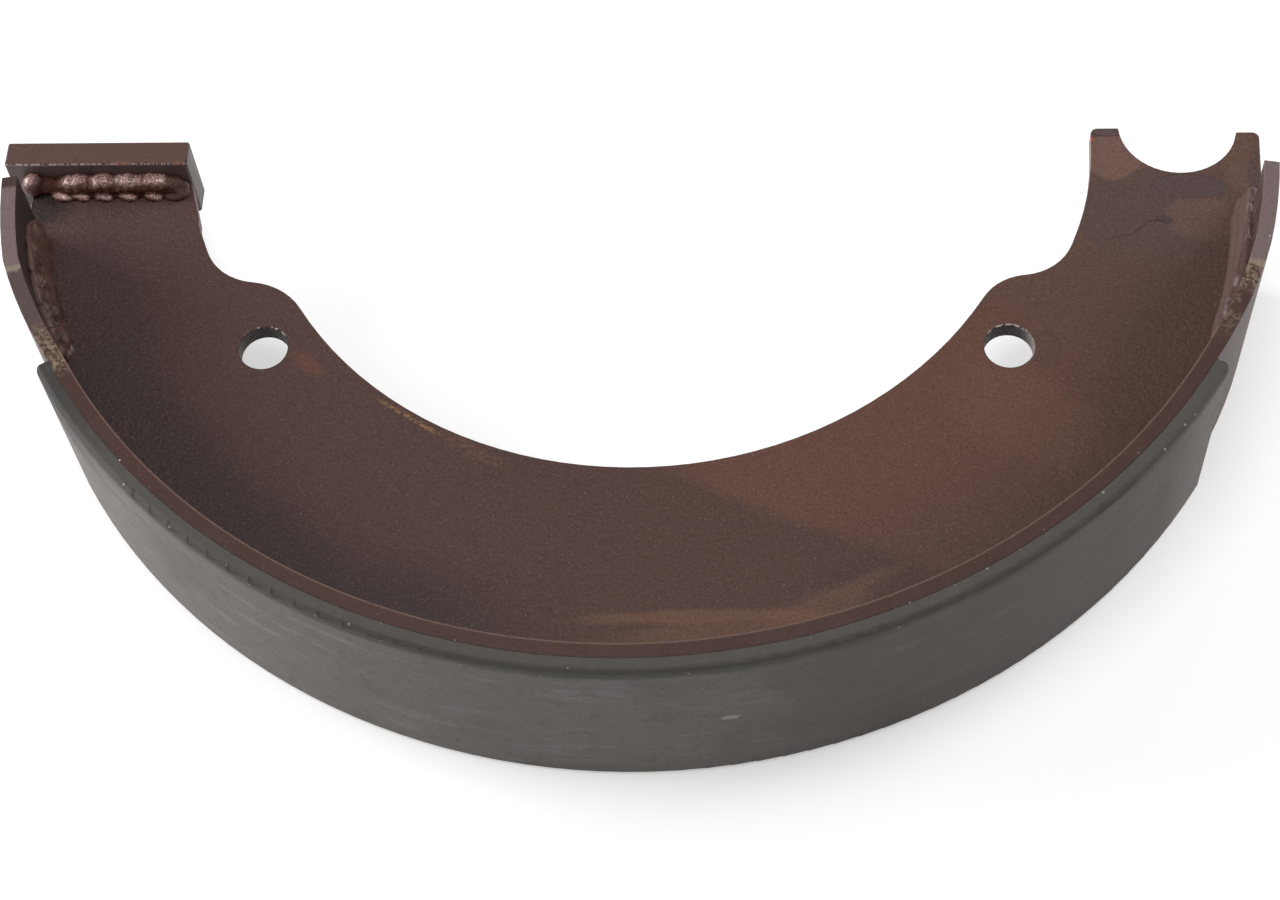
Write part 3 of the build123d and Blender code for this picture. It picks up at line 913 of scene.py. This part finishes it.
def rim_weld_paint():
    f = Finish("weld_primer")
    fine, peel = primer_grain(f)
    crease = f.noise(3.4 * MM, detail=3.0, rough=0.6, stretch=(1, 0.5, 0.6))
    toe = f.mix(srgb(54, 34, 29), srgb(78, 53, 46), f.step(crease, 0.34, 0.54))
    heel = f.mix(srgb(88, 68, 62), srgb(98, 76, 70), f.noise(9 * MM))
    climbs = f.step(f.radius() + (f.noise(5 * MM) - 0.5) * (2 * MM), *CLIMBS_TO_R)
    # where the heel bead climbs the rim: painted purple-grey glints on darker paint
    glints = f.step(f.noise(1.6 * MM, detail=3.0, stretch=(1, 0.35, 0.35)), 0.5, 0.62)
    heel = f.mix(heel, f.mix(srgb(74, 50, 47), srgb(122, 106, 110), glints), climbs * 0.85)
    yellow = f.patch((164.9 * MM, -24.5 * MM, 36 * MM), (0.9 * MM, 1.3 * MM, 2 * MM), 0, 0.4)
    heel = f.mix(heel, srgb(196, 140, 52), yellow * 0.8)
    at_heel = f.step(f.x, *HEEL_FROM_X)
    colour = f.mix(toe, heel, at_heel)
    end_spot = f.patch((-149.2 * MM, -67.2 * MM, 32.6 * MM),
                       (0.9 * MM, 0.9 * MM, 1.2 * MM), 0, 0.4)
    colour = f.mix(colour, srgb(150, 138, 140), end_spot * 0.8)
    colour = mottle(f, colour, fine, ((34, 23, 20), 0.28, 0.46, 0.25),
                    ((128, 102, 90), 0.6, 0.78, 0.25))
    # the toe bead's creases are darkened: painted shade in them
    folds = f.noise(3.6 * MM, detail=1.0, stretch=(1, 0.6, 0.5), shift=(4, 0, 2))
    creases = 1 - f.step((folds - 0.5).size(), 0.0, 0.03)
    colour = f.mix(colour, srgb(30, 20, 18), creases * (1 - at_heel) * 0.55)
    height = crease + peel * 0.5 - creases * 0.8
    return f.done(colour, 0.50, f.bump(height, 0.12 * MM), Specular_IOR_Level=0.25)


# %% [markdown]
# The lining is moulded friction material. Its outer face is scuffed pale in long soft streaks,
# and its worn edges and its sides are darker and slightly green with old binder.

# %% Friction material
PALE_BELOW_TOP = (2.4 * MM, 4.8 * MM)
PALE_FROM_R = (FRICTION_R - 1.1 * MM, FRICTION_R - 0.4 * MM)
# the dark toe end, and the stretch before the heel end that is painted in shade, in degrees and
# metres
TOE_END_FADES, TOE_END_FROM_Z = (-58, -44), (36 * MM, 47 * MM)
SHADED_STRETCH_FROM, SHADED_STRETCH_TO = (4, 26), (50, 57)


def lining_surface():
    f = Finish("friction_material")
    r, turn = f.radius(), f.angle()
    grain = f.noise(0.7 * MM, detail=5.0, rough=0.7)
    streak = f.noise(11 * MM, detail=4.0, rough=0.6, stretch=(0.45, 0.45, 2.2))
    cloud = f.noise(30 * MM, detail=2.0)
    down = SIDE_TOP - f.z + (streak - 0.5) * (4 * MM)
    face = f.step(down, *PALE_BELOW_TOP) * f.step(r, *PALE_FROM_R)
    colour = f.mix(srgb(75, 71, 66), srgb(115, 109, 106), face)
    colour = f.mix(colour, srgb(150, 143, 141), f.step(streak, 0.5, 0.78) * face * 0.55)
    colour = f.mix(colour, srgb(92, 88, 84), f.step(cloud, 0.5, 0.7) * face * 0.5)
    scuff = f.noise(5 * MM, detail=5.0, rough=0.75, stretch=(0.5, 0.5, 3.0), shift=(1, 2, 3))
    colour = f.mix(colour, srgb(164, 156, 154), f.step(scuff, 0.6, 0.72) * face * 0.35)
    chip = f.patch((27 * MM, -172.9 * MM, 30 * MM), (2.4 * MM, 2.2 * MM, 1.1 * MM), 0, 0.4, 0.9,
                   2 * MM)
    colour = f.mix(colour, srgb(176, 168, 156), chip * 0.8)
    toe_end = (1 - f.step(turn, *TOE_END_FADES)) * f.step(f.z, *TOE_END_FROM_Z)
    colour = f.mix(colour, srgb(52, 49, 47), toe_end * 0.9)
    # painted shade darkens the stretch from right of the middle to before the heel end
    shaded_stretch = f.step(turn, *SHADED_STRETCH_FROM) * (1 - f.step(turn, *SHADED_STRETCH_TO))
    colour = f.mix(colour, srgb(76, 70, 66), shaded_stretch * 0.6)
    colour = f.mix(colour, srgb(52, 49, 46), (1 - f.step(grain, 0.34, 0.5)) * 0.35)
    colour = f.mix(colour, srgb(168, 162, 152), f.specks(3.4 * MM, 0.10, 0.10) * 0.5)
    pits = f.specks(2.6 * MM, 0.2, 0.16, (5, 2, 7)) * (1 - face)
    colour = f.mix(colour, srgb(176, 172, 160), pits * 0.6)
    blotch = f.noise(4.5 * MM, detail=4.0, rough=0.65, shift=(2, 7, 1))
    colour = f.mix(colour, srgb(84, 79, 76), f.step(blotch, 0.52, 0.66) * 0.35)
    return f.done(colour, 0.66, f.bump(grain + blotch, 0.09 * MM), Specular_IOR_Level=0.3)


put_on(web, web_paint(), "painted_steel", "web")
put_on(rim, rim_paint(), "painted_steel", "rim")
put_on(block, block_paint(), "painted_steel", "wear_block")
put_on(lining, lining_surface(), "friction_lining", "lining")
weld_gloss = weld_paint()
for bead, node in zip(block_beads, ("block_weld_upper", "block_weld_lower")):
    put_on(bead, weld_gloss, "weld_metal", node)
weld_primer = rim_weld_paint()
for bead, node in zip(toe_beads, ("toe_weld_upper", "toe_weld_lower")):
    put_on(bead, weld_primer, "weld_metal", node)
for bead, node in zip(heel_beads, ("heel_weld_upper", "heel_weld_lower")):
    put_on(bead, weld_primer, "weld_metal", node)

# %% [markdown]
# The light is a studio's: a pale surround fills every shadow, one broad lamp hangs overhead
# and one stands on each side. The floor is white to the camera, and to the reflections in the
# paint, and still takes the shoe's shadow.

# %% Floor
FLOOR_SIZE = 6
FLOOR_Z = -0.05 * MM
FLOOR_GREY = 0.72
FLOOR_GLOW = 0.42


def floor_white():
    """Grey under the lamps, with a glow for camera, glossy and transmission rays alone."""
    f = Finish("floor_white")
    seen = f.add("LightPath", {}, {}, "Is Camera Ray")
    for ray in ("Is Glossy Ray", "Is Transmission Ray"):
        seen = seen.most(f.add("LightPath", {}, {}, ray))
    shade = f.add("BsdfDiffuse", {}, {"Color": (FLOOR_GREY, FLOOR_GREY, FLOOR_GREY, 1)})
    glow = f.add("Emission", {}, {"Strength": seen * FLOOR_GLOW})
    return f.close(f.add("AddShader", {}, {0: shade, 1: glow}))


let_go()
bpy.ops.mesh.primitive_plane_add(size=FLOOR_SIZE, location=(0, 0, FLOOR_Z))
floor = bpy.context.object
floor.name = "floor"
floor.data.materials.append(floor_white())

# %% [markdown]
# The world is white to the camera and a weak fill to everything else. Each lamp is a square area
# lamp that faces the middle of the shoe, so its size sets how soft the shadows are.

# %% World and lamps
WORLD_FILL = 0.36
world = bpy.data.worlds.new("surround")
bpy.context.scene.world = world
world.use_nodes = True
tree = world.node_tree
tree.nodes.clear()
path = tree.nodes.new("ShaderNodeLightPath")
strength = tree.nodes.new("ShaderNodeMath")
strength.operation = "MULTIPLY_ADD"
strength.inputs[1].default_value = 1 - WORLD_FILL
strength.inputs[2].default_value = WORLD_FILL
tree.links.new(path.outputs["Is Camera Ray"], strength.inputs[0])
surround = tree.nodes.new("ShaderNodeBackground")
tree.links.new(strength.outputs[0], surround.inputs["Strength"])
world_out = tree.nodes.new("ShaderNodeOutputWorld")
tree.links.new(surround.outputs[0], world_out.inputs[0])


def lamp(name, at, aim, size, watts):
    """A soft square lamp that faces a point."""
    light = bpy.data.lights.new(name, "AREA")
    light.shape = "SQUARE"
    light.size = size
    light.energy = watts
    lamp_object = bpy.data.objects.new(name, light)
    bpy.context.scene.collection.objects.link(lamp_object)
    lamp_object.location = at
    lamp_object.rotation_euler = (Vector(aim) - Vector(at)).to_track_quat("-Z", "Y").to_euler()


SHOE_MIDDLE = (0, -0.09, 0.03)
lamp("overhead", (-0.05, -0.16, 1.1), SHOE_MIDDLE, 0.42, 4.4)
lamp("left", (-1.25, 0.18, 0.42), SHOE_MIDDLE, 0.8, 19)
lamp("right", (1.15, 0.62, 0.5), SHOE_MIDDLE, 0.7, 11)

bpy.context.scene.view_settings.view_transform = "Standard"
